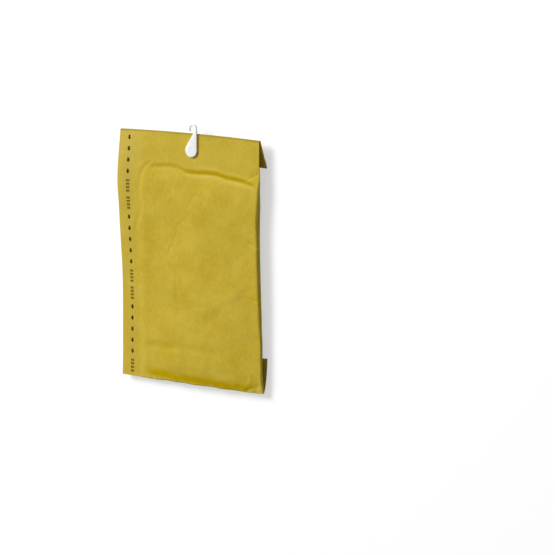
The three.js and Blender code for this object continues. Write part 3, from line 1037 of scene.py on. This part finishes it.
# %% Helpers for an outline
def arc(bm, centre, radius, start, sweep, steps):
    """A run of points round a centre, made by spinning one point."""
    first = bm.verts.new(centre + radius * Vector((math.cos(start), math.sin(start), 0)))
    bmesh.ops.spin(bm, geom=[first], cent=centre, axis=(0, 0, 1), angle=sweep, steps=steps)
    bm.verts.ensure_lookup_table()
    return bm.verts[-steps - 1 :]


def neck(bm, bend, steps):
    """Points along a soft bend between two ends, without the ends themselves."""
    return [bm.verts.new(soft_bend(bend, k / steps)) for k in range(1, steps)]


hook_bm = bmesh.new()
print("hook sits at", (HOLE_X, HOOK_Y))

# %% [markdown]
# ## Outline of the plate
# The outline runs once round the plate, anticlockwise: the drop, the straight right side, the
# outside of the crook, its rounded tip, its inside, and back down the left side to the drop.

# %% Outline of the plate
BULB_RADIUS = 5.65
NECK_HEIGHT, NECK_LEFT, NECK_RIGHT = 13.3, 2.1, 5.5
CROOK = Vector((1.5, 17.4, 0))
CROOK_RADIUS, CROOK_BAND = 4.1, 1.75
CROOK_INSIDE = CROOK_RADIUS - CROOK_BAND
CROOK_SWEEP = math.radians(205)

tangent = math.atan2(NECK_HEIGHT, NECK_LEFT)
tangent += math.acos(BULB_RADIUS / math.hypot(NECK_LEFT, NECK_HEIGHT))
ease = (NECK_HEIGHT + CROOK.y) / 2
mid_radius = CROOK_RADIUS - CROOK_BAND / 2
tip = CROOK + mid_radius * Vector((math.cos(CROOK_SWEEP), math.sin(CROOK_SWEEP), 0))
outer_foot = CROOK + Vector((CROOK_RADIUS, 0, 0))
inner_foot = CROOK + Vector((CROOK_INSIDE, 0, 0))
left_neck = Vector((NECK_LEFT, NECK_HEIGHT, 0))
right_neck = Vector((NECK_RIGHT, NECK_HEIGHT, 0))
outer_guides = Vector((NECK_RIGHT, ease, 0)), Vector((outer_foot.x, ease, 0))
inner_guides = inner_foot + Vector((0, -1.4, 0)), left_neck + Vector((0.7, 1.2, 0))

outline = arc(hook_bm, Vector((0, 0, 0)), BULB_RADIUS, tangent, 2 * math.pi - tangent, 40)
outline.append(hook_bm.verts.new(right_neck))
outline += neck(hook_bm, (right_neck, *outer_guides, outer_foot), 8)
outline += arc(hook_bm, CROOK, CROOK_RADIUS, 0, CROOK_SWEEP, 32)
outline += arc(hook_bm, tip, CROOK_BAND / 2, CROOK_SWEEP, math.pi, 10)[1:-1]
outline += arc(hook_bm, CROOK, CROOK_INSIDE, CROOK_SWEEP, -CROOK_SWEEP, 28)
outline += neck(hook_bm, (inner_foot, *inner_guides, left_neck), 8)
outline.append(hook_bm.verts.new(left_neck))
bmesh.ops.delete(hook_bm, geom=list(hook_bm.edges), context="EDGES_FACES")
print("hook outline:", len(outline), "points")

# %% [markdown]
# ## Thickness of the plate
# A moulding has no sharp edges, because the mould's own corners are round. The outline is filled,
# extruded to its thickness, and bevelled along both rims.

# %% Plate
HOOK_BOTTOM = 11.3
HOOK_THICKNESS = 1.6
RIM_ROUND = 0.38

plate = hook_bm.faces.new(outline)
if plate.normal.z > 0:
    plate.normal_flip()
thickened(hook_bm, [plate], HOOK_THICKNESS)
bmesh.ops.recalc_face_normals(hook_bm, faces=list(hook_bm.faces))
rims = [e for e in hook_bm.edges if abs(e.verts[0].co.z - e.verts[1].co.z) < 1e-6]
bmesh.ops.bevel(
    hook_bm, geom=rims, offset=RIM_ROUND, affect="EDGES",
    segments=3, profile=0.5, material=-1, clamp_overlap=True,
)
bmesh.ops.translate(hook_bm, verts=list(hook_bm.verts), vec=(0, 0, HOOK_BOTTOM))
print("plate:", len(hook_bm.faces), "faces")

# %% [markdown]
# ## Stud and cone
# The stud goes through the two punched holes, and a cone behind the folded-back end keeps it
# there. Both are round, so one profile of (radius, height) is spun about the stud's axis. Its
# upper end stops inside the plate, where it is closed.

# %% Stud and cone
HEAD_TOP = 3.6
STUD_RADIUS = 1.8
profile = [
    (0, HEAD_TOP - 2.0), (1.3, HEAD_TOP - 2.0), (1.5, HEAD_TOP - 1.85),
    (2.9, HEAD_TOP - 0.12), (3.0, HEAD_TOP), (2.85, HEAD_TOP),
    (STUD_RADIUS, HEAD_TOP), (STUD_RADIUS, HEAD_TOP + 0.3),
    (STUD_RADIUS, HOOK_BOTTOM + 0.1), (STUD_RADIUS, HOOK_BOTTOM + 0.6),
]
stud_bm = bmesh.new()
stud_verts = [stud_bm.verts.new((radius, 0, z)) for radius, z in profile]
stud_edges = [stud_bm.edges.new(pair) for pair in zip(stud_verts, stud_verts[1:])]
bmesh.ops.spin(
    stud_bm, geom=stud_verts + stud_edges, axis=(0, 0, 1),
    angle=2 * math.pi, steps=40, use_merge=True,
)
bmesh.ops.remove_doubles(stud_bm, verts=list(stud_bm.verts), dist=1e-4)
bmesh.ops.holes_fill(stud_bm, edges=[e for e in stud_bm.edges if e.is_boundary])
bmesh.ops.recalc_face_normals(stud_bm, faces=list(stud_bm.faces))
stud_mesh = meshed("stud", stud_bm)
hook_bm.from_mesh(stud_mesh)
bpy.data.meshes.remove(stud_mesh)
print("stud and plate:", len(hook_bm.faces), "faces")

# %% [markdown]
# ## The hook in its place
# The hook was drawn round its own stud, the axis it turns about. Now it is moved to its holes.

# %% The hook in its place
bmesh.ops.translate(hook_bm, verts=list(hook_bm.verts), vec=(HOLE_X, HOOK_Y, 0))
bmesh.ops.scale(hook_bm, verts=list(hook_bm.verts), vec=(MM, MM, MM))
hook_mesh = meshed("plastic_hook", hook_bm)
hook_mesh.shade_smooth()
hook = put_out("plastic_hook", hook_mesh)
print("hook:", len(hook_mesh.polygons), "faces")

# %% [markdown]
# ## White plastic
# Moulded plastic is even, but not perfect: a faint milky cloud inside, and a gloss that varies
# where it was touched. Light goes a little way into it, which a plain white would not show. Its
# noise is read from Object coordinates, since nothing on it follows a map.

# %% Plastic material
plastic, tree, skin = new_finish("hook_plastic")
body_place = tree.nodes.new("ShaderNodeTexCoord").outputs["Object"]
milk = clouds(tree, body_place, 4.0 * MM)
touch = clouds(tree, body_place, 1.2 * MM, 3.0)
white = mixed(tree, milk, paint(244, 248, 245), paint(251, 252, 250))
plug(tree, skin, Base_Color=white, Roughness=ramp(tree, touch, 0.3, 0.7, 0.28, 0.42))
plug(tree, skin, Subsurface_Weight=1.0, Subsurface_Radius=(1, 1, 1), Subsurface_Scale=0.5 * MM)
lifted(tree, skin, touch, 0.25, 0.05 * MM)
hook_mesh.materials.append(plastic)
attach(hook, "hook")
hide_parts("hang_hook")
print("plastic:", len(tree.nodes), "nodes")

# %% [markdown]
# ## Camera
# The camera looks down on the front from its right and a little from its top end, through a long
# lens from 2.7 m away, so the sides stay nearly parallel. It could track a target, but three
# directions give exactly the wanted turn.

# %% Camera
RENDER_SIDE = 555
FOCAL_PIXELS = 3280.0
SENSOR = 36.0
YAW, PITCH, ROLL = math.radians(36.37), math.radians(9.27), math.radians(0.19)
AWAY = 2663.0
AIM_RIGHT, AIM_DOWN = 70.0, 14.2
middle = Vector((0, 0, 8))
long_way = Vector((0, 1, 0))
low = math.cos(PITCH)
toward = Vector((math.sin(YAW) * low, math.sin(PITCH), math.cos(YAW) * low))
eye = middle + toward * AWAY
side_way = (-toward).cross(long_way).normalized()
aim = middle + side_way * AIM_RIGHT - side_way.cross(-toward) * AIM_DOWN
forward = (aim - eye).normalized()
level = forward.cross(long_way).normalized()
upright = level.cross(forward)
right = math.cos(ROLL) * level + math.sin(ROLL) * upright
up = math.cos(ROLL) * upright - math.sin(ROLL) * level
lens = bpy.data.cameras.new("camera")
lens.sensor_width = SENSOR
lens.lens = FOCAL_PIXELS / RENDER_SIDE * SENSOR
lens.clip_start, lens.clip_end = 0.05, 50
camera = put_out("camera", lens)
turn = Matrix((right, up, -forward)).transposed().to_4x4()
camera.matrix_world = Matrix.Translation(eye * MM) @ turn
bpy.context.scene.camera = camera
print("camera at", [round(v * MM, 3) for v in eye])

# %% [markdown]
# ## Floor
# A plain pale floor keeps the bag's shadow. It glows to the camera, and to gloss and glass, so
# that it looks white, but it throws no light of its own.


# %% Floor
def seen_directly(tree):
    """1 for what the camera sees, straight or in gloss or glass."""
    path = tree.nodes.new("ShaderNodeLightPath").outputs
    mirrored = sums(tree, "MAXIMUM", path["Is Glossy Ray"], path["Is Transmission Ray"])
    return sums(tree, "MAXIMUM", path["Is Camera Ray"], mirrored)


floor_bm = bmesh.new()
bmesh.ops.create_grid(floor_bm, x_segments=1, y_segments=1, size=6)
floor_mesh = meshed("floor", floor_bm)
floor = put_out("floor", floor_mesh)
floor_finish, tree, skin = new_finish("floor")
plug(tree, skin, Base_Color=(0.55, 0.55, 0.55, 1), Roughness=0.9, Specular_IOR_Level=0.1)
glow = times(tree, seen_directly(tree), 0.52)
plug(tree, skin, Emission_Color=(1, 1, 1, 1), Emission_Strength=glow)
floor_mesh.materials.append(floor_finish)
print("floor:", len(floor_mesh.polygons), "face")

# %% [markdown]
# ## Light
# One large soft lamp at the upper left shows the creases, and an even white world fills the
# shadows. Two lamps would give each crease two shadows, and a small one would make them hard.

# %% Lamp and world
KEY_PLACE = (-1.75, 1.95, 2.6)
KEY_WATTS = 141.5
KEY_SIDE = 1.8
SKY_LIGHT = 0.27

bpy.context.scene.view_settings.view_transform = "Standard"
world = bpy.data.worlds.new("studio")
bpy.context.scene.world = world
world.use_nodes = True
tree = world.node_tree
sky = tree.nodes["Background"]
sky_strength = ramp(tree, seen_directly(tree), 0, 1, SKY_LIGHT, 1.0)
plug(tree, sky, Color=(1, 1, 1, 1), Strength=sky_strength)

lamp_data = bpy.data.lights.new("key", "AREA")
lamp_data.energy = KEY_WATTS
lamp_data.size = KEY_SIDE
lamp = put_out("key", lamp_data)
lamp.location = KEY_PLACE
lamp.rotation_euler = (-Vector(KEY_PLACE)).to_track_quat("-Z", "Y").to_euler()
print("lamp: %.1f m away" % Vector(KEY_PLACE).length)
